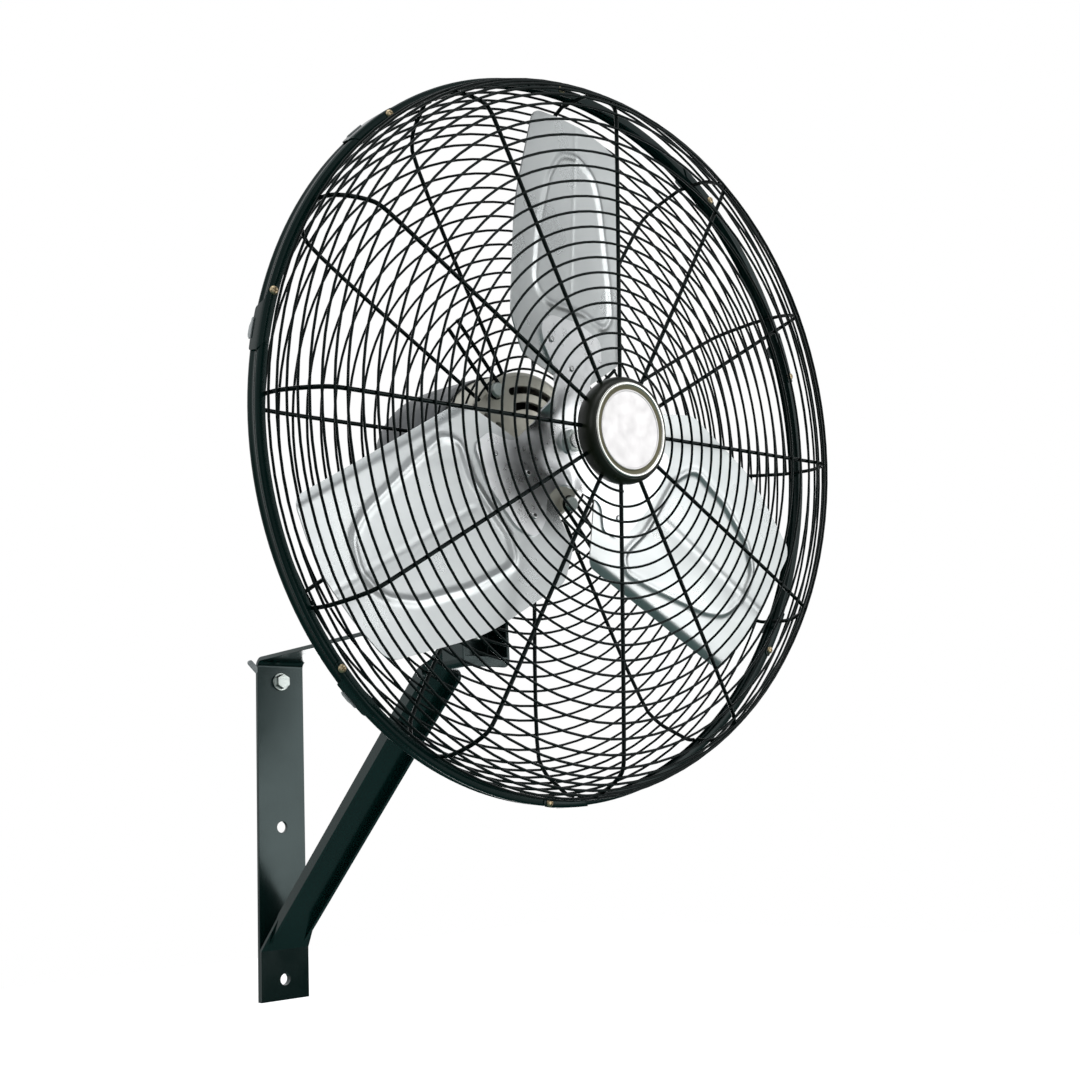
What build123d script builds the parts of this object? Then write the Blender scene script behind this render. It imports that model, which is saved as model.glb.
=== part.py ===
from build123d import *
import math
import os

os.makedirs("parts", exist_ok=True)

# Wall mounted fan, 20 inch class. Millimetres, +Z up, wall at Y = 0, the fan blows toward -Y.
# The origin is midway between the two free wall bolt holes, on the back face of the plate.

# ---- bracket ----
STRIP_WIDTH = 52.0            # one flat bar makes the wall plate and the arm
STRIP_THICK = 4.0
STRIP_BEND = 6.0              # inner radius where the bar turns from plate to arm
HOLE_PITCH = 144.0
WALL_HOLE_R = 5.5
HOLES_Z = (-HOLE_PITCH / 2, HOLE_PITCH / 2, HOLE_PITCH * 1.5)
BOLT_HOLE_Z = HOLES_Z[2]
PLATE_BOTTOM = -91.0
ARM_TOP = 240.0
ARM_BOTTOM = ARM_TOP - STRIP_THICK
ARM_REACH = 342.0

END_WIDTH = 50.0              # box under the arm's end
END_THICK = 3.0
END_BOTTOM = 192.0
END_REAR = -308.0
END_FRONT = -336.0
END_LIP = 9.0

# ---- pan and tilt ----
PAN_Y = -322.0
TILT_Z = 269.0
PIVOT_R = 5.0                 # M10 pan bolt
TILT_BOLT_R = 4.0             # M8 tilt bolt
FIT = 0.05                    # radial clearance of a running fit

# ---- head ----
HEAD_Y = -460.0               # centre of the guard's rim
HEAD_Z = 355.6
HEAD_TILT = 6.5               # the head looks down by this angle
GUARD_R = 282.0               # wire radius where the two guard halves meet
RIM_R = 284.5
RIM_DEPTH = -4.8              # middle of the rim, behind the plane that depths start from
SPOKES = 12
SPOKE_OFFSET = 2.2
WIRE = 1.8                    # side of the square that stands for a 2 mm wire
SPOKE_WIRE = 2.8              # side of the square that stands for a 3.2 mm wire
WIRE_PITCH = 11.5
FACE_FRONT = 50.0             # depth of the wires on the front face
FACE_REAR = -55.0
TURN_STEPS = 24               # straight lengths in each turn of a guard's wire
COARSE_R = 125.0              # half as many inside this radius
MOTOR_R = 64.0
MOTOR_FRONT = -58.0           # depths run forward from the rim plane along the head axis
MOTOR_BACK = -216.0
SHAFT_R = 6.0

# ---- blades ----
BLADE_COUNT = 3
BLADE_TIP_R = 254.0
BLADE_ANGLE = 83.3            # direction of the first blade's reference line
BLADE_DEPTH = -5.0
BLADE_THICK = 1.2
ROOT_PITCH = 15.0
TIP_PITCH = 11.5
CAMBER = 5.0
CAMBER_T = 20.0               # the deepest line of the camber lies this far beside the reference line

TILT_SIN = math.sin(math.radians(HEAD_TILT))
TILT_COS = math.cos(math.radians(HEAD_TILT))
FORWARD = (0, -TILT_COS, -TILT_SIN)
HEAD_CENTRE = (0, HEAD_Y, HEAD_Z)
HEAD = Plane(origin=HEAD_CENTRE, x_dir=(1, 0, 0), z_dir=FORWARD)
HEAD_PROFILE = Plane(origin=HEAD_CENTRE, x_dir=(1, 0, 0), z_dir=(0, TILT_SIN, -TILT_COS))
HEAD_AXIS = Axis(HEAD_CENTRE, FORWARD)
SPOKE_ANGLES = [90 + SPOKE_OFFSET + k * 360 / SPOKES for k in range(SPOKES)]
SCREW_ANGLES = (45, 135, 225, 315)


def finish(piece, name):
    piece.part.label = name
    export_step(piece.part, f"parts/{name}.step")


def radial(angle):
    """Direction square to the head axis at an angle seen from the front."""
    turn = math.radians(angle)
    return HEAD.from_local_coords(Vector(math.cos(turn), math.sin(turn), 0)) - Vector(*HEAD_CENTRE)


def radial_plane(angle):
    """Plane through the head axis: x points outward at the angle, y points forward."""
    outward = radial(angle)
    return Plane(origin=HEAD_CENTRE, x_dir=outward, z_dir=outward.cross(Vector(*FORWARD)))


def head_point(radius, angle, depth):
    """Point of the head from its radius, its angle seen from the front and its depth."""
    turn = math.radians(angle)
    local = Vector(radius * math.cos(turn), radius * math.sin(turn), depth)
    return HEAD.from_local_coords(local)


# ======================================================================
# Bracket, fixed to the wall
# ======================================================================

# One flat bar bent at the top: three bolt holes in the plate, one pivot hole in the arm.
with BuildPart() as wall_bracket:
    with BuildSketch(Plane.YZ):
        with BuildLine():
            FilletPolyline(
                (0, PLATE_BOTTOM), (0, ARM_TOP), (-ARM_REACH, ARM_TOP),
                radius=STRIP_BEND + STRIP_THICK,
            )
            Line((-ARM_REACH, ARM_TOP), (-ARM_REACH, ARM_BOTTOM))
            FilletPolyline(
                (-ARM_REACH, ARM_BOTTOM), (-STRIP_THICK, ARM_BOTTOM),
                (-STRIP_THICK, PLATE_BOTTOM), radius=STRIP_BEND,
            )
            Line((-STRIP_THICK, PLATE_BOTTOM), (0, PLATE_BOTTOM))
        make_face()
    extrude(amount=STRIP_WIDTH / 2, both=True)
    with Locations(*[Location((0, 0, z), (90, 0, 0)) for z in HOLES_Z]):
        Hole(WALL_HOLE_R, depth=3 * STRIP_THICK)
    with Locations((0, PAN_Y, ARM_TOP)):
        Hole(PIVOT_R + 0.2, depth=2 * STRIP_THICK)
    fillet(wall_bracket.edges().filter_by(Axis.Z).group_by(Axis.Y)[0], 6)
finish(wall_bracket, "wall_bracket")

# Pressed diagonal brace: a tab on the plate, a channel open to the front and a narrow neck
# that is welded to the back of the channel under the arm's end.
BRACE_THICK = 3.0
BRACE_SLOPE = 0.876           # rise for each millimetre of reach
BRACE_START_Z = -43.7         # height where the slope's line meets the wall plane
BRACE_WIDTH = 42.0
BRACE_RECESS = 4.5            # the web lies this far behind the slope's line
BRACE_EDGE = 5.2              # and the flanges' edges this far in front of it
NECK_WIDTH = 28.0
NECK_START = 273.0            # reach where the channel ends
TAB_Y = -STRIP_THICK - BRACE_THICK / 2
FOLD_Z = -43.5                # fold between the tab and the slope
RAMP_REACH = 36.0             # reach where the web has come back to its full recess


def brace_line(reach, drop):
    """Point in the YZ plane at a reach from the wall, dropped square to the slope."""
    length = math.hypot(1, BRACE_SLOPE)
    return (-reach - drop * BRACE_SLOPE / length, BRACE_START_Z + BRACE_SLOPE * reach - drop / length)


with BuildPart() as diagonal_brace:
    with BuildSketch(Plane.YZ):
        with BuildLine():
            Polyline(
                (TAB_Y, PLATE_BOTTOM), (TAB_Y, FOLD_Z), brace_line(RAMP_REACH, -BRACE_RECESS),
                brace_line(NECK_START, -BRACE_RECESS), brace_line(-END_REAR + 10, 0),
            )
            offset(amount=BRACE_THICK / 2, side=Side.BOTH)
        make_face()
    extrude(amount=STRIP_WIDTH / 2, both=True)
    with BuildSketch(Plane.XZ) as brace_outline:
        half, slim, neck = STRIP_WIDTH / 2, BRACE_WIDTH / 2, NECK_WIDTH / 2
        neck_z = brace_line(NECK_START, -BRACE_RECESS)[1]
        with BuildLine():
            Polyline(
                (-half, PLATE_BOTTOM), (half, PLATE_BOTTOM), (half, FOLD_Z), (slim, FOLD_Z + 30),
                (slim, neck_z), (neck, neck_z + 6), (neck, ARM_BOTTOM), (-neck, ARM_BOTTOM),
                (-neck, neck_z + 6), (-slim, neck_z), (-slim, FOLD_Z + 30), (-half, FOLD_Z),
                close=True,
            )
        make_face()
        fillet(brace_outline.vertices().group_by(Axis.Y)[3], 6)
    extrude(amount=-END_REAR, mode=Mode.INTERSECT)
    for side in (-1, 1):
        with BuildSketch(Plane.YZ.offset(side * (BRACE_WIDTH / 2 - BRACE_THICK / 2))) as flange:
            with BuildLine():
                Polyline(
                    (TAB_Y, FOLD_Z), brace_line(RAMP_REACH, -BRACE_RECESS),
                    brace_line(NECK_START, -BRACE_RECESS), brace_line(NECK_START, BRACE_EDGE),
                    brace_line(12, BRACE_EDGE - BRACE_THICK / 2), close=True,
                )
            make_face()
            fillet(flange.vertices().sort_by(Axis.X)[0], 6)
        extrude(amount=BRACE_THICK / 2, both=True)
    with Locations(Location((0, TAB_Y, HOLES_Z[0]), (90, 0, 0))):
        Hole(WALL_HOLE_R, depth=3 * BRACE_THICK)
finish(diagonal_brace, "diagonal_brace")

# Box welded under the arm's end, open to the front above a low lip.
with BuildPart() as arm_end_bracket:
    with BuildSketch(Plane.XZ.offset(-END_REAR)) as end_channel:
        with Locations((0, ARM_BOTTOM)):
            Rectangle(END_WIDTH, ARM_BOTTOM - END_BOTTOM, align=(Align.CENTER, Align.MAX))
        fillet(end_channel.vertices().group_by(Axis.Y)[0], 7)
    extrude(amount=END_REAR - END_FRONT)
    with BuildSketch(Plane.XZ.offset(END_THICK - END_REAR)):
        with Locations((0, ARM_BOTTOM)):
            Rectangle(
                END_WIDTH - 2 * END_THICK, ARM_BOTTOM - END_BOTTOM - END_THICK,
                align=(Align.CENTER, Align.MAX),
            )
    extrude(amount=END_REAR - END_FRONT, mode=Mode.SUBTRACT)
    with BuildSketch(Plane.XZ.offset(-END_FRONT)) as end_lip:
        with Locations((0, END_BOTTOM)):
            Rectangle(END_WIDTH, END_LIP, align=(Align.CENTER, Align.MIN))
        fillet(end_lip.vertices().group_by(Axis.Y)[0], 7)
    extrude(amount=-END_THICK)
finish(arm_end_bracket, "arm_end_bracket")


def hex_bolt(flange_r, flange_h, flats, head_h, shank_r, shank_length):
    """Bolt along +Z: shank from z = -shank_length to 0, then flange and hex head."""
    with BuildPart() as bolt:
        with BuildSketch():
            Circle(shank_r)
        extrude(amount=-shank_length)
        if flange_r:
            with BuildSketch():
                Circle(flange_r)
            extrude(amount=flange_h)
        with BuildSketch(Plane.XY.offset(flange_h)):
            RegularPolygon(flats / 2, 6, major_radius=False)
        extrude(amount=head_h)
    return bolt.part


# Flange bolt in the top wall hole, its end flush with the back of the plate.
with BuildPart(Plane(origin=(0, -STRIP_THICK, BOLT_HOLE_Z), z_dir=(0, -1, 0))) as wall_bolt:
    add(hex_bolt(8.9, 1.6, 13, 5.5, 4.0, STRIP_THICK))
finish(wall_bolt, "wall_bolt")

# Short rounded hook on the left edge of the bend.
with BuildPart() as side_hook:
    with BuildSketch(Plane.XZ.offset(1)):
        with Locations((-29.5, 230.5)):
            SlotOverall(16, 5, rotation=-45)
    extrude(amount=STRIP_THICK - 1)
    with BuildSketch(Plane.XZ.offset(-20)):
        with Locations((0, 200)):
            Rectangle(STRIP_WIDTH, 200)
    extrude(amount=40, mode=Mode.SUBTRACT)
finish(side_hook, "side_hook")

# Pan bolt with washer and nut: it passes the swivel, its washer and the arm.
WASHER_H = 1.5
CLEVIS_BASE = 4.0
CLEVIS_Z = ARM_TOP + WASHER_H
PIVOT_HEAD_Z = CLEVIS_Z + CLEVIS_BASE + 0.1
with BuildPart(Plane((0, PAN_Y, PIVOT_HEAD_Z))) as pivot_bolt:
    add(hex_bolt(0, 0, 16, 5.0, PIVOT_R, PIVOT_HEAD_Z - ARM_BOTTOM + 20))
finish(pivot_bolt, "pivot_bolt")

with BuildPart() as pivot_washer:
    with BuildSketch(Plane((0, PAN_Y, ARM_BOTTOM))):
        Circle(11)
        Circle(PIVOT_R, mode=Mode.SUBTRACT)
    extrude(amount=-2)
finish(pivot_washer, "pivot_washer")

with BuildPart() as pivot_nut:
    with BuildSketch(Plane((0, PAN_Y, ARM_BOTTOM - 2))):
        RegularPolygon(8, 6, major_radius=False)
        Circle(PIVOT_R, mode=Mode.SUBTRACT)
    extrude(amount=-9)
finish(pivot_nut, "pivot_nut")

# ======================================================================
# Swivel, turns on the pan bolt
# ======================================================================

FOOT_WIDTH = 28.0
CHEEK_THICK = 4.0
CHEEK_GAP = 0.3
CHEEK_INNER = FOOT_WIDTH / 2 + CHEEK_GAP
CHEEK_R = 14.0

with BuildPart() as swivel_washer:
    with BuildSketch(Plane((0, PAN_Y, ARM_TOP))):
        Circle(22)
        Circle(PIVOT_R + FIT, mode=Mode.SUBTRACT)
    extrude(amount=WASHER_H)
finish(swivel_washer, "swivel_washer")

# Clevis: a round base and two cheeks with rounded tops that hold the tilt bolt.
with BuildPart() as swivel_clevis:
    with BuildSketch(Plane((0, PAN_Y, CLEVIS_Z))):
        Circle(23)
        Circle(PIVOT_R + FIT, mode=Mode.SUBTRACT)
    extrude(amount=CLEVIS_BASE)
    for side in (-1, 1):
        with BuildSketch(Plane.YZ.offset(side * (CHEEK_INNER + CHEEK_THICK / 2))):
            with Locations((PAN_Y, TILT_Z)):
                Circle(CHEEK_R)
            with Locations((PAN_Y, CLEVIS_Z)):
                Rectangle(2 * CHEEK_R - 2, TILT_Z - CLEVIS_Z, align=(Align.CENTER, Align.MIN))
            with Locations((PAN_Y, TILT_Z)):
                Circle(TILT_BOLT_R, mode=Mode.SUBTRACT)
        extrude(amount=CHEEK_THICK / 2, both=True)
finish(swivel_clevis, "swivel_clevis")

CLEVIS_HALF = CHEEK_INNER + CHEEK_THICK
with BuildPart(Plane(origin=(CLEVIS_HALF, PAN_Y, TILT_Z), z_dir=(1, 0, 0))) as tilt_bolt:
    add(hex_bolt(8.0, 1.6, 13, 5.3, TILT_BOLT_R, 2 * CLEVIS_HALF + 11))
finish(tilt_bolt, "tilt_bolt")

with BuildPart() as tilt_nut:
    with BuildSketch(Plane(origin=(-CLEVIS_HALF, PAN_Y, TILT_Z), z_dir=(-1, 0, 0))):
        RegularPolygon(6.5, 6, major_radius=False)
        Circle(TILT_BOLT_R, mode=Mode.SUBTRACT)
    extrude(amount=8)
finish(tilt_nut, "tilt_nut")

# ======================================================================
# Head, tilts on the tilt bolt: motor
# ======================================================================

SHELL = 2.5
SCREW_RADIUS = 58.0
SPLIT_DEPTH = -96.0           # where the front and rear motor covers meet
REAR_R = 66.0

# Front cover: a cup with a flat vented face, a bearing boss and four low screw bosses.
with BuildPart() as motor_front_cover:
    with BuildSketch(HEAD_PROFILE):
        with BuildLine():
            Polyline(
                (SHAFT_R + 1, MOTOR_FRONT), (MOTOR_R - 4, MOTOR_FRONT), (MOTOR_R, MOTOR_FRONT - 4),
                (MOTOR_R, SPLIT_DEPTH), (MOTOR_R - SHELL, SPLIT_DEPTH),
                (MOTOR_R - SHELL, MOTOR_FRONT - SHELL - 2), (20, MOTOR_FRONT - SHELL - 2),
                (20, MOTOR_FRONT - 14), (16, MOTOR_FRONT - 14), (16, MOTOR_FRONT - 4),
                (SHAFT_R + 1, MOTOR_FRONT - 4), close=True,
            )
        make_face()
    revolve(axis=HEAD_AXIS)
    with BuildSketch(HEAD.offset(MOTOR_FRONT)):
        for angle in (0, 90, 180, 270):
            for radius, spread in ((49, 24), (36, 24)):
                with BuildLine(mode=Mode.PRIVATE) as slot_line:
                    CenterArc((0, 0), radius, angle - spread, 2 * spread)
                SlotArc(slot_line.wire(), 6)
    extrude(amount=-2 * SHELL, mode=Mode.SUBTRACT)
    with BuildSketch(HEAD.offset(MOTOR_FRONT)):
        with PolarLocations(SCREW_RADIUS, len(SCREW_ANGLES), start_angle=SCREW_ANGLES[0]):
            RegularPolygon(6.3, 12)
    extrude(amount=FACE_REAR + WIRE / 2 - MOTOR_FRONT)
finish(motor_front_cover, "motor_front_cover")

# Rear cover: a deep drawn cup with a domed back and an inner bearing boss.
with BuildPart() as motor_rear_cover:
    with BuildSketch(HEAD_PROFILE):
        with BuildLine():
            Polyline(
                (0, MOTOR_BACK), (26, MOTOR_BACK), (46, MOTOR_BACK + 6), (59, MOTOR_BACK + 19),
                (REAR_R, MOTOR_BACK + 42), (REAR_R, SPLIT_DEPTH), (REAR_R - SHELL, SPLIT_DEPTH),
                (REAR_R - SHELL, MOTOR_BACK + 42), (57, MOTOR_BACK + 21), (44, MOTOR_BACK + 8),
                (26, MOTOR_BACK + SHELL), (20, MOTOR_BACK + SHELL), (20, MOTOR_BACK + 15),
                (16, MOTOR_BACK + 15), (16, MOTOR_BACK + 4), (0, MOTOR_BACK + 4), close=True,
            )
        make_face()
    revolve(axis=HEAD_AXIS)
finish(motor_rear_cover, "motor_rear_cover")


def ring(outer, inner, depth, length):
    """Plain ring on the head axis, from depth forward by length."""
    with BuildPart() as body:
        with BuildSketch(HEAD.offset(depth)):
            Circle(outer)
            if inner:
                Circle(inner, mode=Mode.SUBTRACT)
        extrude(amount=length)
    return body


BEARING_H = 10.0
finish(ring(16, SHAFT_R + FIT, MOTOR_FRONT - 14, BEARING_H), "front_bearing")
finish(ring(16, SHAFT_R + FIT, MOTOR_BACK + 5, BEARING_H), "rear_bearing")
STATOR_R = MOTOR_R - SHELL
ROTOR_R = 34.0
finish(ring(STATOR_R, ROTOR_R + 0.5, -160, 64), "stator_core")

# Cast foot: an ear on the tilt bolt and a saddle that carries the motor.
with BuildPart() as motor_foot:
    with BuildSketch(Plane.YZ):
        with BuildLine():
            ear_top = HEAD_Z - 30
            Polyline(
                (PAN_Y - CHEEK_R, TILT_Z), (PAN_Y - CHEEK_R, TILT_Z + 14), (PAN_Y - 42, TILT_Z + 34),
                (PAN_Y - 42, ear_top), (PAN_Y + 42, ear_top), (PAN_Y + 42, TILT_Z + 34),
                (PAN_Y + CHEEK_R, TILT_Z + 14), (PAN_Y + CHEEK_R, TILT_Z),
            )
            ThreePointArc(
                (PAN_Y + CHEEK_R, TILT_Z), (PAN_Y, TILT_Z - CHEEK_R), (PAN_Y - CHEEK_R, TILT_Z)
            )
        make_face()
        with Locations((PAN_Y, TILT_Z)):
            Circle(TILT_BOLT_R + FIT, mode=Mode.SUBTRACT)
    extrude(amount=FOOT_WIDTH / 2, both=True)
    with BuildSketch(HEAD.offset(MOTOR_BACK - 20)):
        Circle(REAR_R)
    extrude(amount=300, mode=Mode.SUBTRACT)
finish(motor_foot, "motor_foot")

# ======================================================================
# Head: rear guard, front guard and rim
# ======================================================================

HUB_R = 43.0
FRONT_FACE_R = 247.0
REAR_FACE_R = 251.0
REAR_EYE_R = 70.0             # inner end of the rear wire
RING_R = 65.6                 # closed ring inside it
FRONT_WALL = (
    (FRONT_FACE_R, FACE_FRONT), (257, 46), (267, 33), (269, 22), (272.5, 9), (GUARD_R, -1.2),
)
REAR_WALL = ((REAR_FACE_R, FACE_REAR), (262, -43), (268, -30), (272.5, -19), (GUARD_R, -8.4))
SPOKE_INSET = WIRE / 2 + SPOKE_WIRE / 2
BOTTOM = -90 + SPOKE_OFFSET


def along(profile, fraction):
    """Point of a radius and depth profile at a fraction of its length."""
    lengths = [math.dist(p, q) for p, q in zip(profile, profile[1:])]
    left = fraction * sum(lengths)
    for (p, q), length in zip(zip(profile, profile[1:]), lengths):
        if left <= length:
            return tuple(a + (b - a) * left / length for a, b in zip(p, q))
        left -= length
    return profile[-1]


def inset(profile, distance):
    """The same radius and depth profile, moved toward the head's inside by a distance."""
    side = 1 if profile[0][1] < 0 else -1
    shifted = []
    for k, (radius, depth) in enumerate(profile):
        before, after = profile[max(k - 1, 0)], profile[min(k + 1, len(profile) - 1)]
        run, rise = after[0] - before[0], after[1] - before[1]
        length = math.hypot(run, rise)
        shifted.append((radius - abs(rise) / length * distance, depth + side * run / length * distance))
    return tuple(shifted)


def spiral_wire(profile, turns, start):
    """One wire that winds clockwise and outward along a radius and depth profile."""
    steps = round(turns * TURN_STEPS)
    points = []
    for k in range(steps + 1):
        radius, depth = along(profile, k / steps)
        if radius > COARSE_R or k % 2 == 0:
            points.append(head_point(radius, start - k * 360 / TURN_STEPS, depth))
    with BuildPart() as wire:
        with BuildLine():
            Polyline(*points)
        with BuildSketch(Plane(origin=points[0], x_dir=FORWARD, z_dir=points[1] - points[0])):
            Rectangle(WIRE, WIRE)
        sweep(transition=Transition.RIGHT)
    return wire


def spoke_wires(profile, angles, size):
    """Bent radial wires through the same radius and depth profile, one at each angle."""
    with BuildPart() as wires:
        for angle in angles:
            points = [head_point(radius, angle, depth) for radius, depth in profile]
            with BuildLine():
                Polyline(*points)
            with BuildSketch(Plane(origin=points[0], x_dir=FORWARD, z_dir=points[1] - points[0])):
                Rectangle(size, size)
            sweep(transition=Transition.RIGHT)
    return wires


FACE_TURNS = (FRONT_FACE_R - HUB_R - 3) / WIRE_PITCH
REAR_TURNS = (REAR_FACE_R - REAR_EYE_R) / WIRE_PITCH
FACE_START = BOTTOM
front_face = ((HUB_R + 3, FACE_FRONT), (FRONT_FACE_R, FACE_FRONT))
rear_face = ((REAR_EYE_R, FACE_REAR), (REAR_FACE_R, FACE_REAR))
front_steps = round(FACE_TURNS * TURN_STEPS)
rear_steps = round(REAR_TURNS * TURN_STEPS)
front_wall_start = FACE_START - front_steps * 360 / TURN_STEPS
rear_wall_start = FACE_START - rear_steps * 360 / TURN_STEPS

finish(spiral_wire(front_face, FACE_TURNS, FACE_START), "front_face_wire")
finish(spiral_wire(FRONT_WALL, 5, front_wall_start), "front_wall_wire")
finish(spiral_wire(rear_face, REAR_TURNS, FACE_START), "rear_face_wire")
finish(spiral_wire(REAR_WALL, 5, rear_wall_start), "rear_wall_wire")

front_spoke_line = (
    (HUB_R - 3, FACE_FRONT - SPOKE_INSET), (FRONT_FACE_R - 1, FACE_FRONT - SPOKE_INSET),
    *inset(FRONT_WALL, SPOKE_INSET + 0.2)[1:],
)
rear_spoke_line = (
    (RING_R - WIRE / 2, FACE_REAR + SPOKE_INSET), (REAR_FACE_R - 2, FACE_REAR + SPOKE_INSET),
    *inset(REAR_WALL, SPOKE_INSET + 0.2)[1:],
)
finish(spoke_wires(front_spoke_line, SPOKE_ANGLES, SPOKE_WIRE), "front_spokes")
finish(spoke_wires(rear_spoke_line, SPOKE_ANGLES, SPOKE_WIRE), "rear_spokes")

# Closed wire ring in front of the motor's rim, which the rear spokes end on.
finish(ring(RING_R + WIRE / 2, RING_R - WIRE / 2, FACE_REAR - WIRE / 2, WIRE), "rear_inner_ring")

# Four wire hairpins round the guard screws carry the rear guard on the motor.
LOOP_HALF = 6.0
LOOP_OUT = 122.0
LOOP_DEPTH = FACE_REAR + WIRE / 2 + SPOKE_WIRE / 2
with BuildPart() as rear_mount_loops:
    for angle in SCREW_ANGLES:
        loop_plane = Plane(origin=head_point(0, 0, LOOP_DEPTH), x_dir=radial(angle), z_dir=FORWARD)
        turn_in = SCREW_RADIUS - LOOP_HALF
        loop_line = (
            (LOOP_OUT, LOOP_HALF), (SCREW_RADIUS, LOOP_HALF), (turn_in, LOOP_HALF / 2),
            (turn_in, -LOOP_HALF / 2), (SCREW_RADIUS, -LOOP_HALF), (LOOP_OUT, -LOOP_HALF),
        )
        points = [loop_plane.from_local_coords(Vector(x, y, 0)) for x, y in loop_line]
        with BuildLine():
            Polyline(*points)
        with BuildSketch(Plane(origin=points[0], x_dir=FORWARD, z_dir=points[1] - points[0])):
            Rectangle(SPOKE_WIRE, SPOKE_WIRE)
        sweep(transition=Transition.RIGHT)
finish(rear_mount_loops, "rear_mount_loops")

# Pan head screws that clamp the hairpins to the motor's front rim.
with BuildPart() as guard_screws:
    for angle in SCREW_ANGLES:
        screw_plane = Plane(
            origin=head_point(SCREW_RADIUS, angle, LOOP_DEPTH + SPOKE_WIRE / 2), z_dir=FORWARD
        )
        with BuildSketch(screw_plane):
            RegularPolygon(6.8, 10)
        extrude(amount=3.2, taper=20)
        with BuildSketch(screw_plane):
            RegularPolygon(2.4, 8)
        extrude(amount=-SPOKE_WIRE)
finish(guard_screws, "guard_screws")

# Rolled rim that clasps the edges of both guard halves.
RIM_HALF = 7.3
RIM_THICK = 1.5
RIM_ROLL = 2.5
LIP_R = 278.5
RIM_FRONT = RIM_DEPTH + RIM_HALF
RIM_REAR = RIM_DEPTH - RIM_HALF
with BuildPart() as rim_band:
    with BuildSketch(HEAD_PROFILE):
        with BuildLine():
            Polyline(
                (LIP_R, RIM_FRONT), (RIM_R - RIM_ROLL, RIM_FRONT), (RIM_R, RIM_FRONT - RIM_ROLL),
                (RIM_R, RIM_REAR + RIM_ROLL), (RIM_R - RIM_ROLL, RIM_REAR), (LIP_R, RIM_REAR),
                (LIP_R, RIM_REAR + RIM_THICK), (RIM_R - RIM_ROLL - RIM_THICK / 2, RIM_REAR + RIM_THICK),
                (RIM_R - RIM_THICK, RIM_REAR + RIM_ROLL), (RIM_R - RIM_THICK, RIM_FRONT - RIM_ROLL),
                (RIM_R - RIM_ROLL - RIM_THICK / 2, RIM_FRONT - RIM_THICK),
                (LIP_R, RIM_FRONT - RIM_THICK), close=True,
            )
        make_face()
    revolve(axis=HEAD_AXIS)
finish(rim_band, "rim_band")

# Sprung clips over the rim, each held by a small screw at one end, with a folded ear at the other.
CLIP_ANGLES = (19, 56, 94, 131, 166.5, 220, 266, 325)
CLIP_SPAN = 10.0
CLIP_HALF = 4.8
EAR_TURN = 7.5                # angle from a clip's start to its ear
EAR_R = 5.0
SCREW_TURN = 1.5
with BuildPart() as rim_clips:
    for angle in CLIP_ANGLES:
        with BuildSketch(radial_plane(angle)):
            with Locations((RIM_R + FIT, RIM_DEPTH)):
                Rectangle(RIM_THICK, 2 * CLIP_HALF, align=(Align.MIN, Align.CENTER))
        revolve(axis=HEAD_AXIS, revolution_arc=CLIP_SPAN)
    with BuildSketch(HEAD.offset(RIM_DEPTH - CLIP_HALF)):
        for angle in CLIP_ANGLES:
            with PolarLocations(RIM_R + RIM_THICK, 1, start_angle=angle + EAR_TURN):
                RegularPolygon(EAR_R, 10)
        Circle(RIM_R + FIT + RIM_THICK / 2, mode=Mode.SUBTRACT)
    extrude(amount=RIM_THICK)
finish(rim_clips, "rim_clips")

with BuildPart() as clip_screws:
    for angle in CLIP_ANGLES:
        seat = head_point(RIM_R + FIT + RIM_THICK, angle + SCREW_TURN, RIM_DEPTH)
        with BuildSketch(Plane(origin=seat, x_dir=FORWARD, z_dir=radial(angle + SCREW_TURN))):
            RegularPolygon(3.2, 8)
        extrude(amount=2.2)
finish(clip_screws, "clip_screws")

# Plastic centre with its bright ring and disc, held by the inner ends of the front spokes.
with BuildPart() as centre_puck:
    with BuildSketch(HEAD_PROFILE):
        with BuildLine():
            Polyline(
                (0, 40), (HUB_R - 6, 40), (HUB_R - 3, 43), (HUB_R, 46), (HUB_R, 51), (HUB_R - 3, 54),
                (HUB_R - 4, 54), (HUB_R - 4, 52), (0, 52), close=True,
            )
        make_face()
    revolve(axis=HEAD_AXIS)
finish(centre_puck, "centre_puck")
finish(ring(HUB_R - 4, HUB_R - 7, 52, 2.5), "badge_ring")
finish(ring(HUB_R - 10, 0, 52, 1.2), "badge_disc")

# ======================================================================
# Fan, turns in the motor's bearings
# ======================================================================

HUB_BACK = -36.0
SPIDER_THICK = 2.0
SPIDER_DEPTH = -8.0           # front of the spider's flat middle
SPIDER_R = 36.0
HUB_FACE = SPIDER_DEPTH - SPIDER_THICK
HUB_WASHER_H = 1.5
NUT_H = 5.0
SHAFT_FRONT = SPIDER_DEPTH + HUB_WASHER_H + NUT_H + 1
finish(ring(SHAFT_R, 0, MOTOR_BACK + 5, SHAFT_FRONT - MOTOR_BACK - 5), "motor_shaft")
finish(ring(ROTOR_R, SHAFT_R, -158, 60), "rotor_core")

SHEET_LOW = 75.0              # a blade's sheet runs this far on each side of its reference line
SHEET_HIGH = 115.0
SHEET_IN = 10.0               # and between these reaches, where its pitch is that of root and tip
SHEET_OUT = 270.0
RIB_CORNERS = ((106, -42), (226, 4), (226, 62), (102, 74), (94, 52), (105, 4))
RIB_FILLET = 13.0
RIB_HALF = 3.0
RIB_RISE = 1.2
ARM_CORNERS = (
    (16, -18), (52, -16), (74, -29), (92, -25), (94, 20), (86, 50), (74, 60), (62, 52), (48, 33),
    (16, 28),
)
ARM_FILLET = 8.0
NECK_IN = 36.5                # reach where an arm leaves the flat middle
NECK_OUT = 46.0               # and where it lies on its blade
FOOT_OUT = 100.0


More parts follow.
